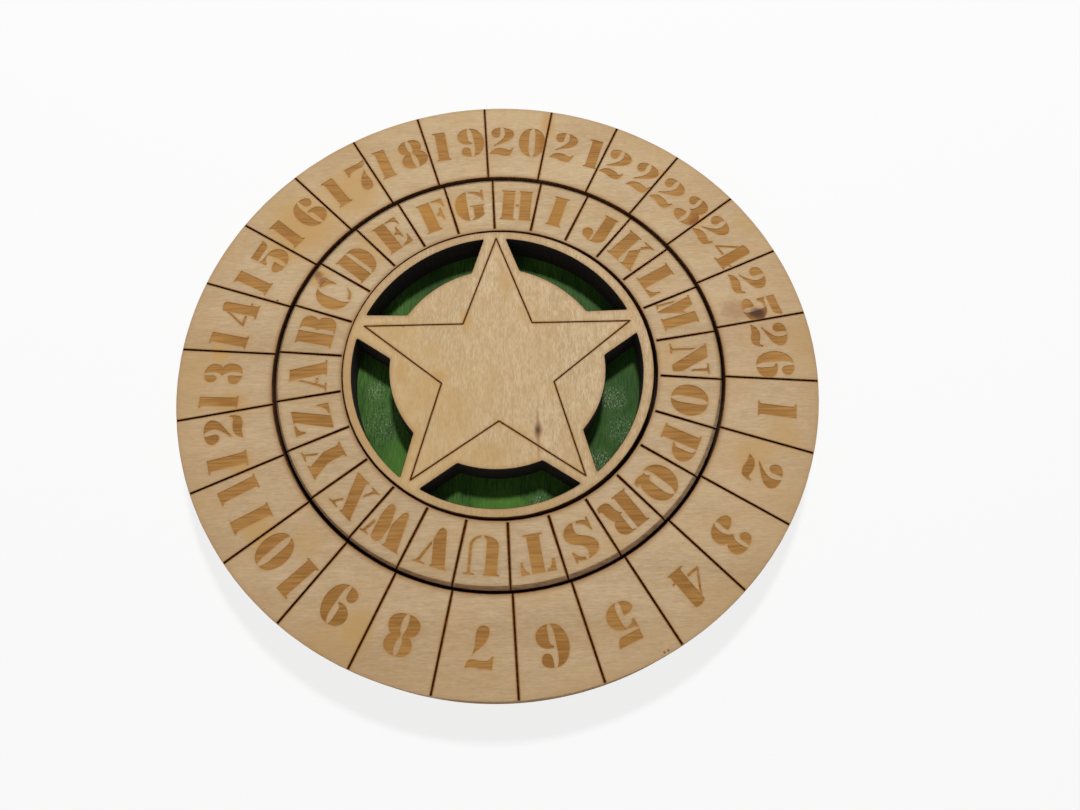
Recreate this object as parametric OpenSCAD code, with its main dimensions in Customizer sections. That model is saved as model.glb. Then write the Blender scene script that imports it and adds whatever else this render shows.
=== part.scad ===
// Cipher wheel cut by laser from three sheets of thin plywood.
// The origin is the centre of the underside, +Z points up out of the dials
// and +Y points to the star's upper tip. All sizes are in millimetres.

/* [Sheets] */
// Thickness of each of the three plywood sheets
sheet_t = 3; // [2:0.1:5]
// Play above the flange, so that the letter ring turns freely
flange_play = 0.15; // [0.05:0.05:0.4]

/* [Middle] */
// Diameter of the star medallion
medallion_d = 58.4; // [52:0.2:90]
// Distance that the glued medallion sits off the wheel's centre, towards -X
medallion_shift = 0.2; // [0:0.05:0.4]
// Gap between the medallion and the letter ring
medallion_gap = 0.5; // [0.5:0.05:2]

/* [Dials] */
// Width of the letter ring from its hole to its outer edge
letter_ring_w = 12.1; // [8:0.05:20]
// Gap between the letter ring and the number ring
dial_gap = 0.6; // [0.3:0.05:1.5]
// Width of the number ring from its hole to the rim
number_ring_w = 17.6; // [10:0.1:30]
// Turn of the line between the numbers 26 and 1, from +X
number_turn = -4.5; // [-180:0.1:180]
// Turn of the letter ring's lines against the number ring's lines at rest
letter_turn = -0.76; // [-7:0.01:7]
// Width of the bevel sanded on the letter ring's outer top edge
letter_bevel = 0.5; // [0.1:0.05:1]

/* [Flange] */
// How far the flange reaches out under the number ring
flange_lip = 3.8; // [2:0.1:8]
// Running gap between the flange and the spacer ring
flange_fit = 0.3; // [0.1:0.05:0.6]

/* [Scored lines] */
// Number of divisions on each dial
divisions = 26; // [10:1:40]
// Width of a scored line
line_w = 0.28; // [0.15:0.01:0.6]
// Depth of a scored line
line_depth = 0.35; // [0.1:0.05:1]
// Bare wood between the letter ring's hole and its scored lines
letter_line_stop = 0.4; // [0.1:0.1:2]

/* [Star] */
// Bare wood between the medallion's edge and the star's tips
star_tip_stop = 2; // [1:0.1:6]
// Radius of the star's inner corners
star_notch_r = 11.1; // [8:0.1:14]

/* [Openings] */
// Width of the medallion's rim outside the openings
window_rim_w = 1.8; // [1:0.1:4]
// Width of the openings from the rim in to the hub
window_w = 6.8; // [3:0.1:9]
// Wood left beside the scored star in each arm
arm_margin = 2.35; // [1:0.05:4]

/* [Hidden] */
$fn = 180;

// How far a cutting solid passes the face that it cuts
cut = 1;
star_points = 5;

medallion_r = medallion_d / 2;
letter_hole_r = medallion_r + medallion_gap;
letter_ring_r = letter_hole_r + letter_ring_w;
number_hole_r = letter_ring_r + dial_gap;
wheel_r = number_hole_r + number_ring_w;
flange_r = letter_ring_r + flange_lip;
spacer_hole_r = flange_r + flange_fit;

middle_z = sheet_t;
top_z = 2 * sheet_t;
flange_t = sheet_t - flange_play;
letter_z = middle_z + flange_t;

star_tip_r = medallion_r - star_tip_stop;
window_outer_r = medallion_r - window_rim_w;
hub_r = window_outer_r - window_w;

// Distance of the star's edges from its centre, and the growth that moves them out by an amount
half_point = 180 / star_points;
star_edge_length = sqrt(
    pow(star_tip_r, 2) + pow(star_notch_r, 2) - 2 * star_tip_r * star_notch_r * cos(half_point)
);
star_edge_r = star_tip_r * star_notch_r * sin(half_point) / star_edge_length;
function star_growth(amount) = (star_edge_r + amount) / star_edge_r;

wood = [0.74, 0.64, 0.49];
turning_wood = [0.71, 0.61, 0.46];
charred_wood = [0.24, 0.16, 0.10];
stained_wood = [0.13, 0.36, 0.12];

// Flat ring standing on z = 0
module ring(outer_r, inner_r, thickness) {
    difference() {
        cylinder(r = outer_r, h = thickness);
        translate([0, 0, -cut]) cylinder(r = inner_r, h = thickness + 2 * cut);
    }
}

// Radial cutters for the lines between the divisions of a dial
module division_cutters(inner_r, outer_r, face_z, turn) {
    for (k = [0 : divisions - 1])
        rotate([0, 0, turn - k * 360 / divisions])
            translate([inner_r, -line_w / 2, face_z - line_depth])
                cube([outer_r - inner_r, line_w, line_depth + cut]);
}

// Outline of the star, with its edges moved out by an amount
module star_outline(amount) {
    tip_r = star_tip_r * star_growth(amount);
    notch_r = star_notch_r * star_growth(amount);
    polygon([
        for (k = [0 : 2 * star_points - 1])
            let (r = k % 2 == 0 ? tip_r : notch_r, a = 90 + k * half_point)
                [r * cos(a), r * sin(a)]
    ]);
}

// Outlines of the openings between the arms of the star
module window_outlines() {
    difference() {
        circle(r = window_outer_r);
        circle(r = hub_r);
        star_outline(arm_margin);
    }
}

// Disc the size of the medallion with the openings cut through
module pierced_disc() {
    difference() {
        cylinder(r = medallion_r, h = sheet_t);
        translate([0, 0, -cut]) linear_extrude(height = sheet_t + 2 * cut) window_outlines();
    }
}

module base_disc() {
    color(stained_wood) cylinder(r = wheel_r, h = sheet_t);
}

module spacer_ring() {
    color(charred_wood) translate([0, 0, middle_z]) ring(wheel_r, spacer_hole_r, sheet_t);
}

module centre_spacer() {
    color(charred_wood) translate([-medallion_shift, 0, middle_z]) pierced_disc();
}

module flange_ring() {
    color(charred_wood) translate([0, 0, middle_z]) ring(flange_r, letter_hole_r, flange_t);
}

module letter_ring() {
    color(turning_wood) difference() {
        translate([0, 0, letter_z]) rotate_extrude() polygon([
            [letter_hole_r, 0],
            [letter_ring_r, 0],
            [letter_ring_r, sheet_t - letter_bevel],
            [letter_ring_r - letter_bevel, sheet_t],
            [letter_hole_r, sheet_t]
        ]);
        division_cutters(
            letter_hole_r + letter_line_stop, letter_ring_r + cut,
            letter_z + sheet_t, number_turn + letter_turn
        );
    }
}

module number_ring() {
    color(wood) difference() {
        translate([0, 0, top_z]) ring(wheel_r, number_hole_r, sheet_t);
        division_cutters(number_hole_r - cut, wheel_r + cut, top_z + sheet_t, number_turn);
    }
}

module star_medallion() {
    color(wood) translate([-medallion_shift, 0, top_z]) difference() {
        pierced_disc();
        translate([0, 0, sheet_t - line_depth]) linear_extrude(height = line_depth + cut)
            difference() {
                star_outline(line_w / 2);
                star_outline(-line_w / 2);
            }
    }
}

base_disc();
spacer_ring();
centre_spacer();
flange_ring();
letter_ring();
number_ring();
star_medallion();
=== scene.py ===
"""Cipher wheel cut by laser from birch plywood: a number dial, a letter ring that turns inside it
and a medallion with a scored star, over a disc stained green.

Lengths are in millimetres and angles in degrees until a mesh is made. Angles run anticlockwise
from +X, seen from above, and +Y points to the star's upper tip.
"""

import math

import bmesh
import bpy
import numpy as np
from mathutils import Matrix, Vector, noise
from mathutils.bvhtree import BVHTree
from mathutils.geometry import delaunay_2d_cdt


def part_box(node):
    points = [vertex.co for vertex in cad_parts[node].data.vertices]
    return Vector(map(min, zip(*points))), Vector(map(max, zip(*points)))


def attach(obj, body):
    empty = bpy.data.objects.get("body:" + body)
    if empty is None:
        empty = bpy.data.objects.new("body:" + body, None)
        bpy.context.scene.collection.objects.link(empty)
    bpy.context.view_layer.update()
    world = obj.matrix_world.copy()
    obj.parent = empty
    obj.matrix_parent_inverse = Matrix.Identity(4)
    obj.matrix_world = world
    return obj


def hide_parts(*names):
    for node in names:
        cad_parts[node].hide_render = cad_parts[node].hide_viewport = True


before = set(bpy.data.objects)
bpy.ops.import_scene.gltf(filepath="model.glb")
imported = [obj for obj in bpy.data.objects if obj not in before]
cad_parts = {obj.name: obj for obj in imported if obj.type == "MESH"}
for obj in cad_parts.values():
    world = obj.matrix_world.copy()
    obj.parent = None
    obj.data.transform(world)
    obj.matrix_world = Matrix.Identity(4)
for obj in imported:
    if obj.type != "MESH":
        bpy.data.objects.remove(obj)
for spare in ("Cube", "Camera", "Light"):
    if spare in bpy.data.objects:
        bpy.data.objects.remove(bpy.data.objects[spare])
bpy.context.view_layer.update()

MM = 0.001
ORIGIN = (0.0, 0.0)

# Heights at which the sheets begin, and the thickness of each of their three plies
BASE_Z = 0.0
MIDDLE_Z = 3.0
LETTER_Z = 5.85
TOP_Z = 6.0
PLY_T = 1.0

# Wheel, from its middle outwards. A pair is the centre of the circle above it
MEDALLION_R = 29.3
MEDALLION = (-0.13, -0.03)
LETTER_HOLE_R = 29.74
LETTER_HOLE = (0.16, -0.1)
LETTER_RING_R = 41.89
LETTER_RING = (0.05, -0.07)
NUMBER_HOLE_R = 42.5
NUMBER_HOLE = (0.04, -0.08)
FLANGE_R = 45.6
SPACER_HOLE_R = 45.9
WHEEL_R = 60.0

# Scored lines, with the centre of the letter ring's lines and the widths at their inner and outer ends,
# and engraving
DIVISIONS = 26
STEP = 360 / DIVISIONS
NUMBER_TURN = -4.5
LETTER_TURN = NUMBER_TURN - 0.76
LETTER_LINES = (0.26, -0.03)
NUMBER_LINE_WIDTHS = (0.37, 0.36)
LETTER_LINE_WIDTHS = (0.45, 0.33)
NUMBER_LINE_STOP = 0.15
LETTER_LINE_STOP = 0.4
LINE_RUN_OUT = 1
LINE_DEPTH = 0.35
STAR_LINE_W = 0.24
STAR_LINE_DEPTH = 0.12
STAR_LINE_OVERLAP = 0.6
ENGRAVING_DEPTH = 0.08
CAP_HEIGHT = 6.9
DIGIT_HEIGHT = 7.06

# Laser-cut edges. The bands are the distances from the edges and the marks at which a mesh gets points
ARC_POINTS = 360
KERF_WANDER = 0.03
CORNER_W = 0.08
CORNER_DROP = 0.07
EDGE_BANDS = (0.4, 1.2)
MARK_BANDS = (0.3, 1.0)
BAND_SPACE = 0.05

# Order of the materials on a sheet, and the names of its attributes
FACE, ENGRAVED, SCORED, WALL, BEVEL, RIM, BACK = range(7)
NEAR_EDGE, NEAR_LINE, NEAR_ENGRAVING = "near_edge", "near_line", "near_engraving"

# Limits of the mesh: lengths that count as none, the flattest corner that is rounded, the least turn
# that is shaded sharp, and how many points are measured at a time
TINY = 1e-6
CUT_TOLERANCE = 1e-5
LEAST_FALL = 1e-4
WELD = 0.002
FLATTEST_CORNER = math.radians(150)
SHARP_TURN = math.radians(30)
CHUNK = 1500

# Bevel sanded by hand on the letter ring's outer edge: angle, width of the bevel
BEVEL_WIDTHS = [
    (0, 0.15), (30, 0.32), (60, 0.3), (90, 0.48), (120, 0.46), (150, 0.36), (180, 0.32), (210, 0.36),
    (240, 0.5), (270, 0.75), (300, 0.74), (330, 0.66), (343, 0.6), (352, 0.35), (360, 0.15),
]
BEVEL_SLOPE = 0.55
# Screen colour of the bevel at shares of a turn
BEVEL_TONES = [
    (0.0, (92, 70, 48)), (0.14, (104, 80, 58)), (0.25, (120, 100, 78)), (0.36, (116, 98, 76)),
    (0.5, (112, 90, 66)), (0.66, (124, 92, 60)), (0.76, (150, 116, 82)), (0.86, (140, 108, 78)),
    (0.95, (150, 124, 92)), (1.0, (92, 70, 48)),
]

# Corners of the scored star, from the upper tip anticlockwise, from the medallion's centre
STAR = [
    (-0.21, 27.75), (-6.76, 8.83), (-25.6, 8.8), (-10.71, -3.42), (-16.01, -22.01),
    (-0.05, -11.16), (15.41, -22.0), (10.32, -3.57), (25.35, 8.77), (6.54, 8.8),
]

# Medallion's openings, from the upper left one anticlockwise. Radii and angles of the start and the end
# of the outer arc and of the hub's arc, with the arc's radius midway
WINDOWS = [
    ((27.67, 95.6), 27.48, (27.67, 156.2), (20.59, 104.4), 20.57, (20.61, 147.8)),
    ((27.6, 166.9), 27.7, (27.92, 230.2), (20.55, 174.9), 20.56, (20.45, 219.7)),
    ((27.68, 238.8), 27.63, (27.48, 301.6), (20.54, 248.2), 20.45, (20.45, 292.2)),
    ((27.55, 309.4), 27.33, (27.2, 373.1), (20.29, 319.3), 20.27, (20.15, 364.7)),
    ((27.38, 384.2), 27.36, (27.62, 446.4), (20.41, 392.9), 20.36, (20.72, 437.8)),
]
CORNER_ROUNDING = 0.42

# Colours


def paint(red, green, blue):
    """Linear colour of a screen colour, whose numbers run from 0 to 255."""
    linear = [
        v / 12.92 if v <= 0.04045 else ((v + 0.055) / 1.055) ** 2.4
        for v in (red / 255, green / 255, blue / 255)
    ]
    return (*linear, 1.0)


# Screen colours of what the laser, its smoke and the glue leave, and of a painted glint of light
TOASTED = (146, 104, 56)
BURNT_SPOT = (74, 42, 18)
LINE_FRINGE = (108, 62, 20)
ENGRAVING_FRINGE = (158, 112, 56)
SMOKED = (180, 136, 74)
SMOKE_STAIN = (191, 151, 92)
GLUE = (24, 16, 12)
PAINTED_GLINT_COLOUR = (196, 206, 176)


# Node trees


class Field:
    """A value, vector or colour in a node tree. Operators on values add Math nodes."""

    def __init__(self, graph, socket):
        self.graph = graph
        self.socket = socket

    def __add__(self, other):
        return self.graph.math("ADD", self, other)

    def __radd__(self, other):
        return self.graph.math("ADD", other, self)

    def __sub__(self, other):
        return self.graph.math("SUBTRACT", self, other)

    def __rsub__(self, other):
        return self.graph.math("SUBTRACT", other, self)

    def __mul__(self, other):
        return self.graph.math("MULTIPLY", self, other)

    def __rmul__(self, other):
        return self.graph.math("MULTIPLY", other, self)

    def __truediv__(self, other):
        return self.graph.math("DIVIDE", self, other)

    def __rtruediv__(self, other):
        return self.graph.math("DIVIDE", other, self)

    def __abs__(self):
        return self.graph.math("ABSOLUTE", self)


class Graph:
    """A node tree that is being built."""

    def __init__(self, tree):
        self.tree = tree

    def node(self, kind, settings=None, sockets=None, output=0):
        """Adds a node, with its settings first and then the values or links of its sockets."""
        node = self.tree.nodes.new(kind)
        for name, value in (settings or {}).items():
            if name == "stops":
                ramp = node.color_ramp.elements
                while len(ramp) < len(value):
                    ramp.new(1)
                for element, (place, colour) in zip(ramp, value):
                    element.position = place
                    element.color = colour
            else:
                setattr(node, name, value)
        for key, value in (sockets or {}).items():
            if isinstance(value, Field):
                self.tree.links.new(value.socket, node.inputs[key])
            else:
                node.inputs[key].default_value = value
        if output is None:
            return node
        return Field(self, node.outputs[output])

    def math(self, operation, *values):
        return self.node("ShaderNodeMath", {"operation": operation}, dict(enumerate(values)))

    def vector_math(self, operation, *values, output=0):
        settings = {"operation": operation}
        return self.node("ShaderNodeVectorMath", settings, dict(enumerate(values)), output)

    def scaled(self, vector, factors):
        return self.vector_math("MULTIPLY", vector, factors)

    def stretched(self, vector, factor):
        """Vector times a single value."""
        sockets = {0: vector, "Scale": factor}
        return self.node("ShaderNodeVectorMath", {"operation": "SCALE"}, sockets)

    def joined(self, x=0.0, y=0.0, z=0.0):
        return self.node("ShaderNodeCombineXYZ", sockets={0: x, 1: y, 2: z})

    def split(self, vector):
        node = self.node("ShaderNodeSeparateXYZ", sockets={0: vector}, output=None)
        return [Field(self, socket) for socket in node.outputs]


class Finish(Graph):
    """A material for one surface, with its pattern on Object coordinates in millimetres."""

    def __init__(self, name, roughness=0.65, grain="x", gloss=0.25):
        material = bpy.data.materials.new(name)
        material.use_nodes = True
        super().__init__(material.node_tree)
        self.tree.nodes.clear()
        self.material = material
        self.grain = grain
        self.shader = self.node("ShaderNodeBsdfPrincipled", output=None)
        self.shader.inputs["Roughness"].default_value = roughness
        self.shader.inputs["Specular IOR Level"].default_value = gloss
        surface = Field(self, self.shader.outputs[0])
        self.node("ShaderNodeOutputMaterial", sockets={0: surface}, output=None)
        place = self.node("ShaderNodeTexCoord", output="Object")
        self.place = self.scaled(place, (1 / MM,) * 3)
        self.x, self.y, self.z = self.split(self.place)

    def feed(self, socket, value):
        self.tree.links.new(value.socket, self.shader.inputs[socket])

    def noise(self, along, across, detail=2.0, shift=0.0, roughness=0.5):
        """Noise from 0 to 1, stretched along the grain. Both numbers are features to the millimetre."""
        stretch = (along, across, across) if self.grain == "x" else (across, along, across)
        offset = (shift, 2.3 * shift, -shift)
        where = self.vector_math("ADD", self.scaled(self.place, stretch), offset)
        return self.node(
            "ShaderNodeTexNoise",
            sockets={"Vector": where, "Scale": 1.0, "Detail": detail, "Roughness": roughness},
        )

    def rise(self, value, start, end):
        """0 up to start and 1 from end, with a smooth step between, or the other way round."""
        turned = start > end
        sockets = {"Value": value, 1: min(start, end), 2: max(start, end)}
        sockets.update({3: 1.0, 4: 0.0} if turned else {3: 0.0, 4: 1.0})
        return self.node("ShaderNodeMapRange", {"interpolation_type": "SMOOTHSTEP"}, sockets)

    def mix(self, amount, first, second):
        """Colour that goes from the first to the second. A plain one is given as a screen colour."""
        first, second = (paint(*c) if isinstance(c, tuple) else c for c in (first, second))
        settings = {"data_type": "RGBA", "clamp_factor": True}
        return self.node("ShaderNodeMix", settings, {0: amount, 6: first, 7: second}, output=2)

    def bump(self, height, depth):
        """Small relief, where a height of 1 stands the depth above a height of 0."""
        sockets = {"Strength": 1.0, "Distance": depth * MM, "Height": height}
        self.feed("Normal", self.node("ShaderNodeBump", sockets=sockets))

    def painted(self, colour, height=None, depth=0.0):
        """The material, once it has its colour and its relief."""
        self.feed("Base Color", colour)
        if height is not None:
            self.bump(height, depth)
        return self.material

    def distance(self, x, y):
        return self.math("SQRT", x * x + y * y)

    def polar(self):
        """Radius in millimetres and angle in degrees round the wheel's axis."""
        return self.distance(self.x, self.y), self.math("ARCTAN2", self.y, self.x) * (180 / math.pi)

    def spot(self, colour, place, reach, strength, stretch, stain, ragged=0.9):
        """Mark or patch with a soft edge and a ragged outline, its stretch being height over width."""
        x, y = self.x - place[0], (self.y - place[1]) / stretch
        wander = self.noise(ragged, ragged, detail=3, shift=sum(place))
        away = self.distance(x, y) / reach + wander * 0.8
        return self.mix(self.rise(away, 1.5, 0.7) * strength, colour, stain)

    def spots(self, colour, table):
        for *shape, stain in table:
            colour = self.spot(colour, *shape, stain)
        return colour

    def smoke_stains(self, colour, table):
        for place, reach, strength, stretch in table:
            colour = self.spot(colour, place, reach, strength, stretch, SMOKE_STAIN, 1.1 / reach)
        return colour

    def near(self, what):
        """How near the cut edges, the scored lines or the engraving lie, as the sheet's mesh says."""
        return self.node("ShaderNodeAttribute", {"attribute_name": what}, output="Fac")

    def singe(self, colour, toast, strength):
        """Toasted wood beside the cut edges, and burnt spots along them."""
        near = self.near(NEAR_EDGE)
        ticks = self.noise(1.6, 1.6, detail=2, shift=5.0)
        slow = self.noise(0.1, 0.1, detail=1, shift=37.0)
        colour = self.mix(near * near * (slow * 0.9 + 0.6) * toast, colour, TOASTED)
        return self.mix(self.rise(near + ticks * 0.25, 0.97, 1.15) * strength, colour, BURNT_SPOT)

    def burn(self, colour, line_strength, mark_strength, halo):
        """Brown fringe of the scored lines and the characters, and the yellow smoke around them."""
        line, mark = self.near(NEAR_LINE), self.near(NEAR_ENGRAVING)
        patches = self.rise(self.noise(0.09, 0.11, detail=3, shift=53.0), 0.36, 0.66)
        smoke = self.math("MAXIMUM", line, mark)
        colour = self.mix(smoke * smoke * (patches * 0.75 + 0.25) * halo, colour, SMOKED)
        colour = self.mix(self.rise(mark, 0.7, 1.0) * mark_strength, colour, ENGRAVING_FRINGE)
        return self.mix(self.rise(line, 0.72, 1.0) * line_strength, colour, LINE_FRINGE)


# Finishes


def birch(finish, light, dark, mottling=0.6, streaks=0.7):
    """Rotary-cut birch: slow bands, cloudy mottling, and fine fibres and dark flecks along the grain."""
    bands = finish.noise(0.018, 0.11, detail=3)
    clouds = finish.noise(0.32, 1.0, detail=4, shift=61.0, roughness=0.62)
    fibres = finish.noise(0.28, 3.0, detail=3, shift=4.1)
    threads = finish.noise(0.6, 8.0, detail=1, shift=9.7)
    specks = finish.noise(0.9, 4.0, detail=3, shift=83.0)
    grain = fibres * 1.9 + threads * 0.9 - 1.4
    mottles = (clouds - 0.5) * 2.0 + (specks - 0.5) * 2.4
    tone = bands * 1.5 + grain * streaks + mottles * mottling - 0.25
    colour = finish.mix(tone, dark, light)
    flecks = finish.rise(finish.noise(0.9, 5.5, detail=1, shift=17.0), 0.68, 0.82)
    colour = finish.mix(flecks * 0.22, colour, (122, 88, 56))
    warmth = finish.rise(finish.noise(0.07, 0.13, detail=4, shift=31.0), 0.44, 0.7)
    colour = finish.mix(warmth * 0.3, colour, (192, 153, 98))
    finish.bump(fibres + threads * 0.8 - flecks * 0.6, 0.014)
    return colour


# Marks on each finish: place, reach, strength, height over width and screen colour
NUMBER_MARKS = [
    ((50.0, 9.9), 2.0, 0.85, 0.7, (92, 62, 44)), ((45.6, 10.6), 3.4, 0.55, 0.9, (156, 112, 78)),
    ((27.6, -52.6), 0.3, 0.8, 1.0, (70, 44, 26)), ((26.9, -52.9), 0.3, 0.8, 1.0, (70, 44, 26)),
    ((-42.8, 14.7), 0.3, 0.8, 1.0, (60, 40, 26)),
]
LETTER_MARKS = [
    ((-35.4, 20.3), 1.3, 0.9, 1.0, (136, 88, 46)), ((-34.4, 18.9), 1.3, 0.9, 1.0, (136, 88, 46)),
]
MEDALLION_MARKS = [((-18.3, 8.5), 0.25, 0.7, 1.0, (96, 70, 44))]
ENGRAVING_MARKS = [
    ((50.0, 9.9), 2.9, 0.9, 0.7, (94, 60, 34)), ((50.1, 9.8), 1.5, 0.7, 0.8, (56, 35, 24)),
    ((40.1, 30.8), 2.2, 0.8, 1.0, (132, 76, 26)), ((46.5, 22.3), 3.2, 0.6, 1.0, (158, 104, 36)),
    ((10.4, 50.8), 2.6, 0.8, 1.4, (146, 94, 34)), ((-50.5, -5.6), 2.6, 0.5, 1.0, (146, 94, 34)),
    ((-12.0, 35.0), 8.0, 0.6, 0.8, (184, 130, 56)), ((15.0, 33.0), 9.0, 0.5, 0.8, (178, 126, 54)),
]
# Painted shade over the upper left window, and painted light in the lower left and bottom windows, of the
# green stain
GREEN_PAINTED_SHADE_AND_LIGHT = [
    ((-13.0, 21.0), 7.0, 0.6, 1.0, (28, 52, 20)), ((-20.5, -17.0), 6.0, 0.4, 1.0, (84, 128, 48)),
    ((0.0, -25.8), 7.0, 0.6, 0.5, (84, 128, 48)),
]
# Yellow patches of old smoke on each face: place, reach, strength and height over width
NUMBER_STAINS = [
    ((-39.5, 31.5), 9.5, 0.9, 1.0), ((-30.0, 39.5), 7.5, 0.8, 1.0), ((-19.0, 47.5), 5.0, 0.45, 0.8),
    ((-52.6, 3.8), 2.6, 1.0, 1.0), ((-57.0, -1.0), 4.0, 0.4, 1.4), ((-42.4, 24.5), 3.5, 0.8, 1.0),
    ((-49.5, -6.5), 3.0, 0.8, 1.0), ((-46.5, -18.4), 2.6, 0.8, 1.0), ((-42.3, -30.3), 4.2, 0.8, 1.0),
    ((-33.8, -32.6), 4.0, 0.5, 1.0), ((-24.0, -47.4), 3.6, 0.8, 1.2), ((-29.5, -49.0), 5.0, 0.4, 0.8),
    ((52.0, -15.2), 4.2, 0.6, 1.2), ((46.4, -18.7), 5.0, 0.6, 1.0), ((58.0, 3.0), 4.0, 0.4, 1.6),
    ((11.0, 55.2), 1.9, 1.0, 2.4), ((33.9, 42.6), 1.8, 0.8, 1.0), ((40.5, 31.4), 2.4, 0.8, 1.0),
    ((-8.0, 57.0), 4.0, 0.3, 0.6), ((50.0, 30.0), 4.0, 0.35, 1.0),
]
LETTER_STAINS = [
    ((-24.6, 26.3), 5.5, 0.5, 1.0), ((-9.5, 35.0), 5.5, 0.35, 0.8), ((13.0, 34.0), 3.5, 0.3, 0.8),
    ((32.0, 0.5), 4.5, 0.45, 1.3), ((20.0, -34.0), 4.0, 0.35, 0.8), ((-35.0, 19.6), 3.0, 0.8, 1.0),
]
MEDALLION_STAINS = [
    ((-22.0, 8.8), 2.2, 0.55, 0.5), ((-19.3, 7.6), 2.4, 0.35, 0.5), ((-6.3, 9.3), 1.8, 0.75, 1.7),
    ((-11.2, -2.1), 2.3, 0.8, 0.8), ((-18.4, -0.9), 1.6, 0.6, 1.8), ((-14.5, -6.0), 4.2, 0.4, 1.2),
    ((-8.8, -9.5), 4.2, 0.4, 1.4), ((-15.3, -13.6), 1.6, 0.55, 1.8), ((-2.0, -17.0), 3.6, 0.5, 0.8),
    ((-0.4, -11.6), 1.6, 0.6, 0.7), ((1.3, 17.5), 1.9, 0.6, 2.2), ((4.3, 10.6), 1.5, 0.4, 1.6),
    ((9.8, -5.2), 1.6, 0.4, 1.3), ((13.8, -20.5), 1.6, 0.45, 1.2), ((6.6, -18.6), 1.5, 0.4, 1.0),
]
# Painted highlights, where the lamp's glints are painted on the green stain: place, reach and strength
PAINTED_GLINT_PATCHES = [
    ((21.5, -5.0), 3.4, 0.7), ((18.3, -17.6), 2.8, 0.65), ((-24.2, -2.6), 2.6, 0.55),
    ((-22.0, -9.0), 5.0, 0.3), ((23.0, -11.5), 4.0, 0.35), ((7.2, -25.4), 2.2, 0.6),
]
# The knot in the medallion: its middle, the reach of its core and how far its streaks run
KNOT = (6.9, -13.2)
KNOT_CORE = (0.62, 1.25)
KNOT_RUN = 6.5


def dial_face(name, light, dark, stains, marks, rim_yellow=0.0):
    finish = Finish(name)
    radius, _ = finish.polar()
    # Painted light: the face paler towards the top (+Y), the side the key lamp shines from
    light = finish.mix(finish.rise(finish.y, 5.0, 50.0), light, (205, 181, 141))
    colour = birch(finish, light, dark, mottling=0.55, streaks=0.6)
    colour = finish.smoke_stains(colour, stains)
    if rim_yellow:
        wander = finish.noise(0.06, 0.06, detail=2, shift=71.0) * 5
        rim = finish.rise(radius + wander, WHEEL_R - 5, WHEEL_R + 3)
        colour = finish.mix(rim * rim_yellow, colour, (180, 144, 94))
    colour = finish.burn(colour, line_strength=0.65, mark_strength=0.3, halo=0.5)
    inside = finish.rise(radius, 55.0, 50.0)
    colour = finish.singe(colour, inside * 0.75 + 0.25, inside * 0.6 + 0.25)
    return finish.painted(finish.spots(colour, marks))


def medallion_face():
    finish = Finish("medallion_birch", grain="y")
    colour = birch(finish, (211, 184, 145), (186, 158, 116), mottling=1.5, streaks=0.7)
    blotches = finish.rise(finish.noise(0.25, 0.35, detail=2, shift=91.0), 0.45, 0.7)
    colour = finish.mix(blotches * 0.3, colour, (186, 154, 108))
    lean = (finish.x * -0.7 + finish.y * -0.35) / 50 + finish.noise(0.12, 0.16, detail=3, shift=43.0)
    colour = finish.mix(finish.rise(lean, 0.35, 0.95) * 0.6, colour, (198, 162, 104))
    colour = finish.smoke_stains(colour, MEDALLION_STAINS)
    colour = finish.burn(colour, line_strength=0.6, mark_strength=0.0, halo=0.5)
    colour = finish.spots(colour, MEDALLION_MARKS)
    colour = finish.singe(colour, toast=0.6, strength=0.6)
    return finish.painted(knotted(finish, colour))


def knotted(finish, colour):
    """A small dark knot, with a streak that runs out of it along the grain to both sides."""
    across, along = finish.x - KNOT[0], finish.y - KNOT[1]
    wave = finish.noise(0.3, 0.6, detail=2, shift=12.0) * 1.2 - 0.6
    core_across, core_along = across / KNOT_CORE[0], along / KNOT_CORE[1]
    core = finish.distance(core_across, core_along) + wave * 0.8
    taper = 1 - abs(along + 0.4) / KNOT_RUN
    streak = finish.rise(abs(across + wave * 0.35) / (taper * 0.75 + 0.05), 1.0, 0.1)
    streak = streak * finish.rise(taper, 0.0, 0.5)
    colour = finish.mix(streak * 0.6, colour, (150, 104, 62))
    colour = finish.mix(finish.rise(core, 1.7, 0.4) * 0.8, colour, (122, 82, 54))
    return finish.mix(finish.rise(core, 0.75, 0.1) * 0.85, colour, (66, 44, 34))


def engraved_bottom():
    """Bottom of the engraved characters, toasted orange-brown by the laser."""
    finish = Finish("engraved_birch", roughness=0.75)
    fibres = finish.noise(0.16, 2.6, detail=3, shift=4.1)
    slow = finish.noise(0.08, 0.12, detail=2, shift=23.0)
    tone = fibres * 2.4 + slow * 1.6 - 1.5
    colour = finish.mix(tone, (143, 97, 40), (178, 130, 68))
    return finish.painted(finish.spots(colour, ENGRAVING_MARKS), fibres, 0.05)


def burnt_groove(name, char, toast):
    finish = Finish(name, roughness=1.0, gloss=0.0)
    specks = finish.noise(1.4, 1.4, detail=3, shift=2.0)
    return finish.painted(finish.mix(finish.rise(specks, 0.45, 0.8), char, toast), specks, 0.06)


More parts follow.
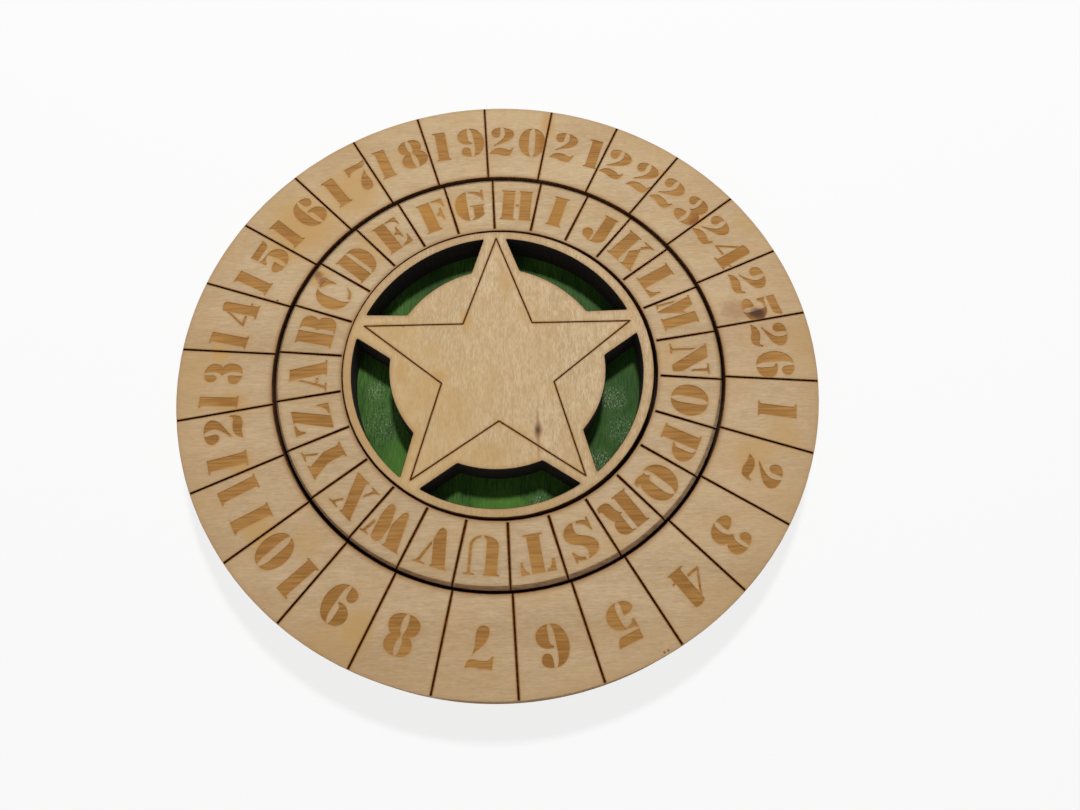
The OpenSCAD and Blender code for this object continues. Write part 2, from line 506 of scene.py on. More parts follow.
def cut_edge(name, bottom, char, toast):
    """Laser-cut wall of a sheet: upright streaks, and three plies with thin glue lines."""
    finish = Finish(name, roughness=0.85)
    upright = finish.scaled(finish.place, (2.4, 2.4, 0.35))
    streaks = finish.node("ShaderNodeTexNoise", sockets={"Vector": upright, "Scale": 1.0, "Detail": 3.0})
    slow = finish.noise(0.12, 0.12, detail=2, shift=6.0)
    off_middle = abs(finish.z - (bottom + 1.5 * PLY_T) + (slow - 0.5) * 0.15)
    middle = finish.rise(off_middle, 0.56, 0.44)
    tone = finish.rise(streaks * 0.6 + slow * 0.5, 0.45, 0.75) * (1 - middle * 0.75)
    glue = finish.rise(abs(off_middle - PLY_T / 2), 0.07, 0.02)
    colour = finish.mix(glue * 0.7, finish.mix(tone, char, toast), GLUE)
    return finish.painted(colour, streaks * 0.8 + middle * 0.6, 0.12)


def sanded_bevel():
    """Bevel where sanding went through the burnt edge, greyer or browner round the ring at the listed
    tones.
    """
    finish = Finish("sanded_bevel", roughness=0.8)
    _, angle = finish.polar()
    stops = [(share, paint(*tone)) for share, tone in BEVEL_TONES]
    share = finish.math("FRACT", angle / 360 + 1)
    colour = finish.node("ShaderNodeValToRGB", {"stops": stops}, {0: share})
    streaks = finish.noise(0.6, 1.8, detail=3, shift=14.0)
    colour = finish.mix(finish.rise(streaks, 0.4, 0.75) * 0.5, colour, (60, 44, 32))
    return finish.painted(colour, streaks, 0.05)


def bare_back():
    """Underside of a sheet, bare birch."""
    finish = Finish("bare_birch_back")
    return finish.painted(birch(finish, (198, 170, 132), (180, 150, 112)))


def smoke_and_shade_face():
    """Faces that lie hidden in the gaps, browned by smoke and painted near black as painted shade in the
    gaps.
    """
    finish = Finish("sooty_birch", roughness=0.9)
    fibres = finish.noise(0.2, 2.4, detail=3, shift=7.0)
    return finish.painted(finish.mix(fibres, (26, 19, 13), (50, 35, 23)), fibres, 0.04)


def stained_face():
    """Top of the base disc: a green stain with a gloss, only where the windows show it, with painted
    glints of light, painted shade and painted light on it.
    """
    finish = Finish("green_stain", roughness=0.5, grain="y", gloss=0.06)
    fibres = finish.noise(0.5, 5.5, detail=3, shift=4.1, roughness=0.6)
    patches = finish.noise(0.1, 0.45, detail=2, shift=19.0)
    tone = fibres * 2.6 + patches * 0.8 - 1.2
    green = finish.mix(tone, (28, 60, 24), (78, 118, 44))
    # Painted shade: the stain darker towards the right window, where an arm's shadow reaches further
    shaded = finish.rise(finish.x + finish.noise(0.2, 0.3, shift=5.0) * 8, 12.0, 26.0)
    green = finish.mix(shaded * 0.6, green, (34, 62, 24))
    # Painted shade and painted light in patches
    green = finish.spots(green, GREEN_PAINTED_SHADE_AND_LIGHT)
    # Painted highlight: pale dashes of the lamp's glint painted into the stain's colour
    glossy = green
    for place, reach, strength in PAINTED_GLINT_PATCHES:
        glossy = finish.spot(glossy, place, reach, strength, 1.0, PAINTED_GLINT_COLOUR, ragged=0.3)
    painted_glint_dashes = finish.rise(finish.noise(1.8, 9.0, detail=2, shift=27.0), 0.53, 0.66)
    green = finish.mix(painted_glint_dashes, green, glossy)
    radius, _ = finish.polar()
    wood = birch(finish, (150, 122, 86), (120, 92, 62))
    bare = finish.rise(radius + finish.noise(0.4, 0.4, shift=2.0) * 0.8, 28.6, 29.2)
    # Painted shade: near black under the gap round the medallion, where little light reaches
    painted_gap_shade = finish.rise(abs(radius - 29.8), 1.6, 0.7)
    colour = finish.mix(bare, green, wood)
    return finish.painted(finish.mix(painted_gap_shade * 0.9, colour, (36, 26, 20)), fibres, 0.05)


# Characters

CURVE_STEPS = 7
SERIF_LIP = 3
SERIF_RISE = 8

# Stencil characters, 100 units tall on their baseline: a name and a width, and then the islands, each
# after a stroke. Pairs of numbers are corners, h and v lead to a point by a quarter ellipse that leaves
# level or upright, q leads there past a control point, and stem is an upright
STENCIL = """
A 92 / 36 100 68 100 85 9 q 86.5 3 92 3 92 0 47 0 47 3 q 52.5 3 52 9 37 93 / 0 0 26 0 26 3 q 16 3 18 9
  23 24 q 29 22.5 40 22.5 40 29 25.5 30 36 68 35 76 11 9 q 9 3 0 3;
B 90 / stem 6 39 ad / 47 100 60 100 h 87 79 v 75 54 h 90 28 v 62 0 46 0 46 3 q 53 3 53 9 53 44 48 47 48
  54 53 57 53 91 q 53 97 47 97;
C 82 / 43 100 h 0 50 v 43 0 q 34 10 34 30 34 70 q 34 90 43 100 / 50 100 q 66 98 74 91 77 100 80 100 80
  61 77 61 q 70 85 50 94 / 50 0 q 72 2 80 27 q 69 10 50 8;
D 88 / stem 6 40 ad / 46 100 52 100 h 88 51 v 52 0 46 0 46 3 q 53 3 53 12 53 88 q 53 97 46 97;
E 78 / stem 6 40 ad / 45 100 77 100 77 73 74 73 q 71 93 45 95 / 45 46.5 q 57 46 60 29 63 29 63 69 60 69
  q 57 52.5 45 51.5 / 45 0 77 0 77 30 74 30 q 71 9 45 5;
F 78 / stem 6 40 abd / 47 100 78 100 78 72 75 72 q 72 93 47 95 / 47 46.5 q 59 46 62 29 65 29 65 69 62 69
  q 59 52.5 47 51.5;
G 88 / 38 100 h 0 50 v 38 0 q 35 10 35 30 35 70 q 35 90 38 100 / 45 100 q 66 98 79 91 82 100 86 100 86
  66 83 66 q 74 88 45 94 / 44 50 85 50 85 47 q 81 47 81 41 81 15 q 66 1 44 0 44 4 q 52 6 52 14 52 41 q
  52 47 44 47;
H 90 / stem 4 37 abd / stem 55 87 bcd 3 / 43 47 52 47 52 53 43 53;
I 43 / stem 5 38;
J 75 / 37 3 37 91 q 37 97 32 97 32 100 75 100 75 97 q 70 97 70 91 70 21 q 63 1 34 0 34 3 / 16 38 h 0 22
  v 16 5 q 24 5 24 0 30 0 30 22 v 16 38;
K 96 / stem 6 40 / 60 100 94 100 94 97 q 86 97 80 89 67 72 62 78 72 91 q 75 97 60 97 / 66 74 89 9 q 91 3
  96 3 96 0 55 0 55 3 q 61 3 59 9 47 45;
L 74 / stem 7 40 / 46 0 73 0 74 33 71 33 q 66 9 46 5;
M 92 / 0 0 21 0 21 3 q 14 4 14 9 13 50 9 56 8 9 q 8 4 0 3 / 3 100 33 100 q 39 82 45 66 53 74 32 0 28 0 9
  90 q 8 97 3 97 / stem 56 86 abc 4;
N 93 / 0 0 28 0 28 3 q 20 4 20 9 20 60 15 70 14 9 q 14 4 0 3 / 3 100 44 100 82 26 82 8 q 82 0 76 0 66 0
  q 62 0 60 5 12 88 q 9 97 3 97 / 63 100 93 100 93 97 q 86 97 85 90 83 50 78 56 78 90 q 78 97 63 97;
O 89 / 42 100 h 0 50 v 42 0 q 34 12 34 30 34 70 q 34 88 42 100 / 47 100 h 89 50 v 47 0 q 54 12 54 30 54
  70 q 54 88 47 100;
P 88 / stem 7 40 abd / 47 100 h 87 69 v 48 37 46 40 q 55 43 55 55 55 84 q 55 96 46 97;
Q 92 / 42 100 h 0 50 v 42 0 q 34 12 34 30 34 70 q 34 88 42 100 / 49 100 h 90 52 v 76 15 q 85 12 90 14 88
  3 q 78 -3 64 1 50 6 46 1 q 56 12 44 21 q 55 22 57 30 57 70 q 57 90 47 97;
R 97 / stem 6 39 abd / 46 100 60 100 h 86 76 v 73 54 q 84 50 86 22 q 87 9 96 13 92 0 78 -2 q 58 -2 57 20
  q 57 38 46 44 54 50 54 90 q 54 97 46 97;
S 77 / 39 100 h 1 74 q 1 55 28 41 q 44 34 44 24 q 44 10 40 0 h 75 30 q 75 46 48 59 q 34 66 32 76 q 31 92
  39 100 / 45 100 q 60 98 66 92 69 100 72 100 72 71 69 71 q 62 88 45 93 / 0 36 3 36 q 10 12 31 7 31 1 q
  14 1 6 9 3 0 0 0;
T 89 / stem 29 61 ab 8 / 0 100 22 100 22 95 q 9 93 7 70 0 70 / 68 100 89 100 86 68 82 68 q 81 92 68 95;
U 90 / 0 100 39 100 39 97 q 36 97 36 91 36 18 q 36 8 44 5 44 0 h 6 26 6 91 q 6 97 0 97 / 62 100 90 100
  90 97 q 80 97 80 91 80 28 q 79 6 53 0 53 5 q 73 10 73 30 73 91 q 73 97 62 97;
V 88 / 0 100 43 100 43 97 q 38 97 40 90 55 34 50 8 q 45 -3 38 0 q 32 2 30 6 5 92 q 3 97 0 97 / 57 100 88
  100 88 97 q 80 97 77 90 59 40 55 46 70 90 q 71 97 57 97;
W 117 / 0 100 46 100 46 97 q 41 97 42 90 54 45 46 8 q 42 0 37 0 q 31 0 29 6 5 92 q 3 97 0 97 / 71 100 q
  84 100 86 86 92 34 89 8 q 86 0 79 0 q 72 0 68 8 56 50 56 86 q 60 100 71 100 / 93 97 117 97 117 94 q
  111 94 109 88 99 56 94 60 97 74 102 88 q 103 94 93 94;
X 84 / 0 100 41 100 41 97 q 36 97 38 91 80 9 q 81 3 84 3 84 0 41 0 41 3 q 48 3 45 9 6 91 q 4 97 0 97 /
  53 100 82 100 82 97 q 74 97 71 91 59 72 55 76 65 90 q 67 97 53 97 / 0 0 27 0 27 3 q 18 3 19 10 26 28
  24 36 13 12 q 8 3 0 3;
Y 84 / 0 100 43 100 43 97 q 36 97 38 91 56 49 55 10 q 55 3 62 3 62 0 16 0 16 3 q 23 3 24 10 24 50 6 91 q
  4 97 0 97 / 57 100 84 100 84 97 q 77 97 74 91 61 61 58 66 68 90 q 69 97 57 97;
Z 75 / 38 100 73 100 73 94 36 6 34 0 0 0 0 5 40 94 / 1 100 31 100 31 95 q 11 94 8 74 4 74 / 42 0 72 0 74
  30 71 30 q 63 8 42 5;
0 78 / 36 100 h 0 50 v 36 0 q 29 12 29 30 29 70 q 29 88 36 100 / 44 100 h 78 50 v 44 0 q 48 12 48 30 48
  70 q 48 88 44 100;
1 42 / 0 97 0 100 37 100 37 9 q 37 3 42 3 42 0 1 0 1 3 q 7 3 7 9 7 88 q 7 96 0 97;
2 70 / 26 98 h 0 80 v 15 62 h 26 74 q 24 84 26 98 / 35 98 h 67 77 q 67 62 47 50 34 43 12 31 9 32 q 40 58
  41 75 q 41 88 35 98 / 0 2 q 8 3 16 3 q 24 3 32 0 q 44 -4 56 0 q 64 3 68 26 65 28 q 62 18 54 19 q 44 24
  34 24 q 10 26 0 2;
3 74 / 30 98 h 6 82 v 20 66 h 30 78 q 28 88 30 98 / 28 36 h 0 20 v 30 0 q 28 8 30 16 q 33 34 28 36 / 38
  99 h 71 76 v 56 53 h 74 28 v 38 -1 q 44 8 45 20 q 45 42 30 52 q 42 58 42 76 q 42 90 38 99;
4 77 / 36 73 7 31 33 31 33 25 0 25 0 30 37 84 / 38 94 q 48 99 56 99 q 69 99 69 90 69 25 77 25 77 21 70
  21 70 9 q 70 3 74 3 74 0 29 0 29 3 q 38 3 38 9;
5 72 / 9 98 71 99 q 66 78 56 77 9 76 / 8 70 12 70 q 14 66 20 66 q 27 66 33 64 33 61 q 20 62 14 49 8 49 /
  35 65 h 71 32 v 35 -1 q 42 6 42 30 q 42 56 35 65 / 27 33 h 0 20 v 27 0 q 24 8 26 16 q 28 28 27 33;
6 76 / 37 100 h 0 50 v 37 0 q 30 12 30 30 30 70 q 30 88 37 100 / 45 100 h 71 83 v 58 66 h 45 78 q 44 88
  45 100 / 37 56 45 56 h 76 28 v 44 0 q 46 8 46 16 46 38 q 46 50 37 51;
7 66 / 3 100 q 20 97 30 99 q 46 92 66 98 q 64 88 60 82 q 52 76 36 80 q 8 84 4 70 0 70 / 50 66 q 44 44 46
  30 q 46 0 29 0 q 12 0 14 18 q 18 42 42 58 50 66;
8 77 / 34 99 h 5 75 v 24 52 h 0 25 v 34 0 q 30 8 30 24 q 30 40 34 48 34 56 q 30 60 30 74 q 30 90 34 99 /
  41 99 h 73 75 v 60 52 h 77 25 v 41 0 q 47 8 47 24 q 47 40 40 48 40 56 q 46 60 46 74 q 46 90 41 99
"""


def stem(left, right, serifs="abcd", reach=5):
    """Thick upright with serifs at the named corners: a is lower left, then anticlockwise."""
    left, right, reach = float(left), float(right), float(reach)
    corners = (
        ("a", left, -1, 0, 1), ("b", right, 1, 0, 1),
        ("c", right, 1, 100, -1), ("d", left, -1, 100, -1),
    )
    text = ""
    for name, x, way, y, up in corners:
        out, lip, rise = x + way * reach, y + up * SERIF_LIP, y + up * SERIF_RISE
        if name not in serifs:
            text += f"{x} {y} "
        elif name in "ac":
            text += f"{x} {rise} q {x} {lip} {out} {lip} {out} {y} "
        else:
            text += f"{out} {y} {out} {lip} q {x} {lip} {x} {rise} "
    return text


def outline(text):
    """Points of one island, from its text."""
    words = text.split()
    if words[0] == "stem":
        words = stem(*words[1:]).split()
    points = []
    i = 0
    while i < len(words):
        word = words[i]
        if word not in "hvq":
            points.append((float(word), float(words[i + 1])))
            i += 2
            continue
        count = 4 if word == "q" else 2
        numbers = [float(w) for w in words[i + 1 : i + 1 + count]]
        x0, y0 = points[-1]
        x1, y1 = numbers[-2:]
        for step in range(1, CURVE_STEPS + 1):
            t = step / CURVE_STEPS
            if word == "q":
                first, second, third = (1 - t) ** 2, 2 * t * (1 - t), t * t
                x = first * x0 + second * numbers[0] + third * x1
                y = first * y0 + second * numbers[1] + third * y1
            else:
                rise, run = math.sin(t * math.pi / 2), 1 - math.cos(t * math.pi / 2)
                along, across = (rise, run) if word == "h" else (run, rise)
                x, y = x0 + (x1 - x0) * along, y0 + (y1 - y0) * across
            points.append((x, y))
        i += 1 + count
    return points


GLYPHS = {}
for entry in STENCIL.split(";"):
    head, *islands = entry.split("/")
    character, glyph_width = head.split()
    GLYPHS[character] = (float(glyph_width), [outline(island) for island in islands])
glyph_width, islands = GLYPHS["6"]
GLYPHS["9"] = (glyph_width, [[(glyph_width - x, 100 - y) for x, y in island] for island in islands])

# Sideways offset, radius of the middle and, for two digits, the space between them in units
NUMBER_PLACES = {
    "1": (0.0, 52.35), "2": (0.05, 52.2), "3": (0.7, 52.4), "4": (-0.83, 53.0), "5": (0.1, 52.2),
    "6": (0.0, 51.95), "7": (-0.3, 51.4), "8": (0.69, 51.75), "9": (0.3, 51.6),
    "10": (0.03, 52.1, 30), "11": (0.44, 52.0, 44), "12": (0.31, 51.9, 36), "13": (-0.7, 51.8, 34),
    "14": (-0.35, 51.45, 28), "15": (0.28, 51.1, 32), "16": (0.29, 51.4, 30), "17": (1.1, 51.2, 36),
    "18": (0.42, 51.6, 29), "19": (0.53, 51.45, 30), "20": (0.46, 51.35, 14),
    "21": (0.59, 51.65, 32), "22": (0.3, 51.5, 20), "23": (0.39, 51.6, 14), "24": (0.06, 51.8, 12),
    "25": (0.63, 51.95, 17), "26": (0.33, 52.0, 13),
}
# Lean to the right in degrees and share of the full width, where a label has its own
LABEL_SHAPES = {
    "1": (-2.5, 1.0), "10": (2.0, 1.0), "11": (2.5, 0.97), "12": (2.5, 1.0), "13": (5.0, 0.8),
    "14": (1.5, 0.9), "15": (2.5, 1.0), "16": (1.5, 1.0),
}
LETTER_PLACES = {
    "O": (0.27, 36.15), "P": (0.48, 36.35), "Q": (0.0, 36.85), "R": (0.04, 36.25),
    "S": (0.06, 36.4), "T": (-0.5, 36.25), "U": (0.0, 36.0), "V": (-0.36, 36.0),
    "W": (0.06, 36.0), "X": (-0.26, 35.95), "Y": (0.42, 36.05), "Z": (-0.4, 35.85),
    "A": (-0.39, 35.8), "B": (0.53, 35.7), "C": (-0.13, 35.75), "D": (-0.19, 35.65),
    "E": (0.13, 35.8), "F": (0.89, 35.7), "G": (-0.15, 36.0), "H": (0.64, 35.7),
    "I": (0.47, 35.95), "J": (1.02, 36.0), "K": (0.3, 36.0), "L": (0.05, 36.0),
    "M": (-0.72, 36.0), "N": (0.54, 36.05),
}


def characters(places, turn, height):
    """Outlines of a dial's characters, one label in each division, clockwise, with the tops outwards."""
    unit = height / 100
    outlines = []
    for k, (label, (aside, radius, *space)) in enumerate(places.items()):
        angle = math.radians(turn - (k + 0.5) * STEP)
        middle = Vector((math.cos(angle), math.sin(angle))) * radius
        middle += Vector((math.sin(angle), -math.cos(angle))) * aside
        lean, share = LABEL_SHAPES.get(label, (0.0, 1.0))
        angle -= math.radians(lean)
        up = Vector((math.cos(angle), math.sin(angle)))
        right = Vector((up.y, -up.x))
        start = -(sum(GLYPHS[c][0] for c in label) * share + sum(space)) / 2
        for character in label:
            glyph_width, islands = GLYPHS[character]
            for island in islands:
                outlines.append([
                    middle + (up * (y - 50) + right * (start + x * share)) * unit for x, y in island
                ])
            start += glyph_width * share + sum(space)
    return outlines


# Sheets


def on_circle(radius, angle, centre=ORIGIN):
    a = math.radians(angle)
    return Vector((centre[0] + radius * math.cos(a), centre[1] + radius * math.sin(a)))


def circle(radius, seed, centre=ORIGIN):
    """Circle as the laser cut it, anticlockwise, with the small wander of its kerf."""
    points = []
    for k in range(ARC_POINTS):
        way = on_circle(1, k * 360 / ARC_POINTS)
        place = Vector((way.x, way.y, 0)) * radius * 0.5 + Vector((0, 0, seed))
        wander = KERF_WANDER * noise.noise(place)
        points.append(way * (radius - KERF_WANDER + wander) + Vector(centre))
    return points


def softened(points, reach):
    """The same outline with its corners rounded, over a reach to both sides of each."""
    result = []
    for k, point in enumerate(points):
        back, ahead = points[k - 1] - point, points[(k + 1) % len(points)] - point
        if min(back.length, ahead.length) > TINY and back.angle(ahead) < FLATTEST_CORNER:
            first = point + back * min(0.4, reach / back.length)
            last = point + ahead * min(0.4, reach / ahead.length)
            for t in (0, 0.25, 0.5, 0.75, 1):
                result.append(first * (1 - t) ** 2 + point * (2 * t * (1 - t)) + last * t * t)
        else:
            result.append(point)
    return result


def arc(start, middle_radius, end):
    """Arc round the medallion's centre whose radius changes a little on its way."""
    (r0, a0), (r1, a1) = start, end
    steps = round(abs(a1 - a0) / 1.5)
    points = []
    for k in range(steps + 1):
        t = k / steps
        bulge = (middle_radius - (r0 + r1) / 2) * 4 * t * (1 - t)
        points.append(on_circle(r0 + (r1 - r0) * t + bulge, a0 + (a1 - a0) * t, MEDALLION))
    return points


def star_groove():
    """The scored star as ten strips, one along each edge."""
    strips = []
    corners = [Vector(corner) + Vector(MEDALLION) for corner in STAR]
    for a, b in zip(corners, corners[1:] + corners[:1]):
        along = (b - a).normalized() * (STAR_LINE_W / 2)
        side = Vector((-along.y, along.x))
        a, b = a - along * STAR_LINE_OVERLAP, b + along * STAR_LINE_OVERLAP
        strips.append([a - side, b - side, b + side, a + side])
    return strips


class Rim:
    """An edge of a sheet, with the wood on its left, and the worn corner along it."""

    SHARES = (0.0, 0.4, 1.0)
    FALLS = (1.0, 0.42, 0.0)

    def __init__(self, points, corner, wall, width=CORNER_W, drop=CORNER_DROP):
        self.points = np.array([tuple(p) for p in points])
        self.corner = corner
        self.wall = wall
        self.widths = np.broadcast_to(width, len(points))
        self.drops = np.broadcast_to(drop, len(points))

    def inset(self, distance):
        """The edge moved into the wood, by one distance or by one for each point."""
        along = np.roll(self.points, -1, 0) - self.points
        along /= np.linalg.norm(along, axis=1)[:, None]
        left = np.stack([-along[:, 1], along[:, 0]], 1)
        before = np.roll(left, 1, 0)
        corner = (left + before) / (1 + (left * before).sum(1))[:, None]
        return self.points + corner * np.broadcast_to(distance, len(corner))[:, None]

    def fall(self, points):
        """How far below the face the worn corner lies at each point, and how near the edge is."""
        along = np.roll(self.points, -1, 0) - self.points
        falls, gaps = [], []
        for chunk in np.array_split(points, max(1, len(points) // CHUNK)):
            off = chunk[:, None] - self.points[None]
            t = np.clip((off * along).sum(2) / (along * along).sum(1), 0, 1)
            gap = np.linalg.norm(off - t[..., None] * along, axis=2)
            near = gap.argmin(1)
            row = np.arange(len(chunk))
            t, gap = t[row, near], gap[row, near]
            following = (near + 1) % len(self.points)
            width = self.widths[near] * (1 - t) + self.widths[following] * t
            drop = self.drops[near] * (1 - t) + self.drops[following] * t
            falls.append(np.interp(gap / width, self.SHARES, self.FALLS) * drop)
            gaps.append(gap)
        return np.concatenate(falls), np.concatenate(gaps)


def beside(outline, distance, spacing=0.5):
    """Loose points outside an anticlockwise outline, at a distance from it."""
    points = []
    for a, b in zip(outline, outline[1:] + outline[:1]):
        along = b - a
        if along.length < TINY:
            continue
        outwards = Vector((along.y, -along.x)).normalized() * distance
        steps = max(1, round(along.length / spacing))
        for k in range(steps):
            point = a + along * ((k + 0.5) / steps) + outwards
            if not points or (point - points[-1]).length > spacing * 0.6:
                points.append(point)
    return points


def nearness(points, outlines, reach):
    """1 for points in or on an outline, falling to 0 at a distance from them all."""
    if not outlines:
        return [0.0] * len(points)
    corners = [(*p[:2], 0) for outline in outlines for p in outline]
    ends = np.cumsum([0] + [len(outline) for outline in outlines]).tolist()
    tree = BVHTree.FromPolygons(corners, [list(range(a, b)) for a, b in zip(ends, ends[1:])])
    distances = [tree.find_nearest((*p, 0), reach)[3] for p in points]
    return [0.0 if d is None else 1 - d / reach for d in distances]


def anticlockwise(points):
    area = sum(a[0] * b[1] - b[0] * a[1] for a, b in zip(points, [*points[1:], points[0]]))
    return list(points) if area > 0 else list(reversed(points))


def enclosed(points, starts, ends):
    """Whether each point lies inside the outlines whose edges run from the starts to the ends."""
    x, y = points[:, :1], points[:, 1:]
    crosses = (starts[:, 1] > y) != (ends[:, 1] > y)
    rise = np.where(ends[:, 1] == starts[:, 1], 1, ends[:, 1] - starts[:, 1])
    at = starts[:, 0] + (y - starts[:, 1]) * (ends[:, 0] - starts[:, 0]) / rise
    return (crosses & (x < at)).sum(1) % 2 == 1


def flattened(rims, marks):
    """Points of a sheet's face, and its triangles, each with the numbers of the marks it lies in."""
    flat, edges, faces = [], [], []

    def add(points):
        first = len(flat)
        flat.extend(Vector(p[:2]) for p in points)
        return list(range(first, len(flat)))

    for rim in rims:
        faces.append(add(anticlockwise(rim.points.tolist())))
        for share in Rim.SHARES[1:]:
            loop = add(rim.inset(rim.widths * share).tolist())
            edges.extend(zip(loop, loop[1:] + loop[:1]))
    for outline, _, _ in marks:
        faces.append(add(outline))
    for rim in rims:
        for distance in EDGE_BANDS:
            if distance > rim.widths.max() + BAND_SPACE:
                add(rim.inset(distance).tolist())
    for outline, _, _ in sorted(marks, key=lambda mark: mark[2]):
        for distance in MARK_BANDS:
            add(beside(outline, distance))
    flat, _, triangles, _, _, origins = delaunay_2d_cdt(flat, edges, faces, 0, CUT_TOLERANCE, True)
    holes = set(range(1, len(rims)))
    kept = [
        (tuple(triangle), [s - len(rims) for s in source if s >= len(rims)])
        for triangle, source in zip(triangles, origins)
        if 0 in source and not holes & set(source)
    ]
    return np.array([tuple(p) for p in flat]), kept


def underside(points, border):
    """Points and faces of a sheet's back, and the number of the back's point under each border point."""
    over = sorted({v for edge in border for v in edge})
    index = {v: k for k, v in enumerate(over)}
    edges = [(index[a], index[b]) for a, b in border]
    back, _, faces, given, _, _ = delaunay_2d_cdt(
        [Vector(points[v]) for v in over], edges, [], 0, CUT_TOLERANCE, True
    )
    back = np.array([tuple(p) for p in back])
    under = {over[o]: k for k, origins in enumerate(given) for o in origins}
    middles = back[np.array([tuple(face) for face in faces])].mean(1)
    in_wood = enclosed(middles, points[[a for a, _ in border]], points[[b for _, b in border]])
    return back, [list(reversed(face)) for face, wooden in zip(faces, in_wood) if wooden], under


def cut_sheet(name, low, high, rims, marks, surfaces):
    """Mesh of a sheet. The first rim is its outline and the others are its holes. Each mark is an
    outline sunk into the face, its depth and its surface; where marks meet, the deepest holds."""
    marks = [
        ([Vector(p[:2]) for p in anticlockwise(outline)], depth, surface)
        for outline, depth, surface in marks
    ]
    points, kept = flattened(rims, marks)
    falls, gaps = zip(*(rim.fall(points) for rim in rims))
    fall, nearest_rim = np.max(falls, axis=0), np.argmin(gaps, axis=0)
    near = {NEAR_EDGE: 1 - np.minimum(np.min(gaps, axis=0) / EDGE_BANDS[-1], 1)}
    for label, surface in ((NEAR_LINE, SCORED), (NEAR_ENGRAVING, ENGRAVED)):
        outlines = [mark[0] for mark in marks if mark[2] == surface]
        near[label] = nearness(points.tolist(), outlines, MARK_BANDS[-1])

    middles = points[np.array([triangle for triangle, _ in kept])].mean(1)
    worn = [rim.fall(middles)[0] > LEAST_FALL for rim in rims]
    depths, looks = [], []
    for k, (_, inside) in enumerate(kept):
        depth, surface = max([marks[m][1:] for m in inside], default=(0.0, FACE))
        if not inside:
            for rim, on_corner in zip(rims, worn):
                if on_corner[k]:
                    surface = rim.corner
        depths.append(depth)
        looks.append(surface)

    levels, owner = {}, {}
    for k, (triangle, _) in enumerate(kept):
        for a, b in zip(triangle, triangle[1:] + triangle[:1]):
            levels.setdefault(a, set()).add(depths[k])
            owner[a, b] = k
    border = [edge for edge in owner if edge[::-1] not in owner]
    back, back_faces, under = underside(points, border)

    vertices = [(*p, low) for p in back.tolist()]
    sources = [None] * len(vertices)
    numbers = {}

    def corner(v, depth):
        if (v, depth) not in numbers:
            numbers[v, depth] = len(vertices)
            vertices.append((*points[v], high - fall[v] - depth))
            sources.append(v)
        return numbers[v, depth]

    polygons = [[corner(v, depths[k]) for v in triangle] for k, (triangle, _) in enumerate(kept)]
    indices = list(looks)
    for (a, b), k in owner.items():
        other = owner.get((b, a))
        if other is None:
            foot_a, foot_b, bottom, surface = under[a], under[b], math.inf, rims[nearest_rim[a]].wall
        elif depths[other] > depths[k]:
            bottom, surface = depths[other], looks[other]
            foot_a, foot_b = corner(a, bottom), corner(b, bottom)
        else:
            continue
        left = [corner(a, d) for d in sorted(levels[a]) if depths[k] < d < bottom]
        right = [corner(b, d) for d in sorted(levels[b], reverse=True) if depths[k] < d < bottom]
        polygons.append([foot_a, foot_b, *right, corner(b, depths[k]), corner(a, depths[k]), *left])
        indices.append(surface)
    polygons.extend(back_faces)
    indices.extend([BACK] * len(back_faces))

    mesh = bpy.data.meshes.new(name)
    mesh.from_pydata([tuple(c * MM for c in v) for v in vertices], [], polygons)
    for material in surfaces:
        mesh.materials.append(material)
    mesh.polygons.foreach_set("material_index", indices)
    for label, values in near.items():
        values = [0.0 if v is None else values[v] for v in sources]
        mesh.attributes.new(label, "FLOAT", "POINT").data.foreach_set("value", values)
    return mesh


def add_object(name, data):
    item = bpy.data.objects.new(name, data)
    bpy.context.scene.collection.objects.link(item)
    return item


def add_piece(name, mesh, body, node):
    """Puts a finished mesh in the frame, in the place of its plain solid."""
    work = bmesh.new()
    work.from_mesh(mesh)
    bmesh.ops.remove_doubles(work, verts=work.verts, dist=WELD * MM)
    bmesh.ops.dissolve_degenerate(work, edges=work.edges, dist=WELD / 2 * MM)
    work.to_mesh(mesh)
    work.free()
    mesh.shade_smooth()
    mesh.set_sharp_from_angle(angle=SHARP_TURN)
    item = add_object(name, mesh)
    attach(item, body)
    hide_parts(node)


def heights(node):
    """Heights of a sheet's underside and top."""
    low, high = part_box(node)
    return low.z / MM, high.z / MM


def add_cut_sheet(name, body, node, rims, marks, surfaces):
    add_piece(name, cut_sheet(name, *heights(node), rims, marks, surfaces), body, node)


# Geometry trees


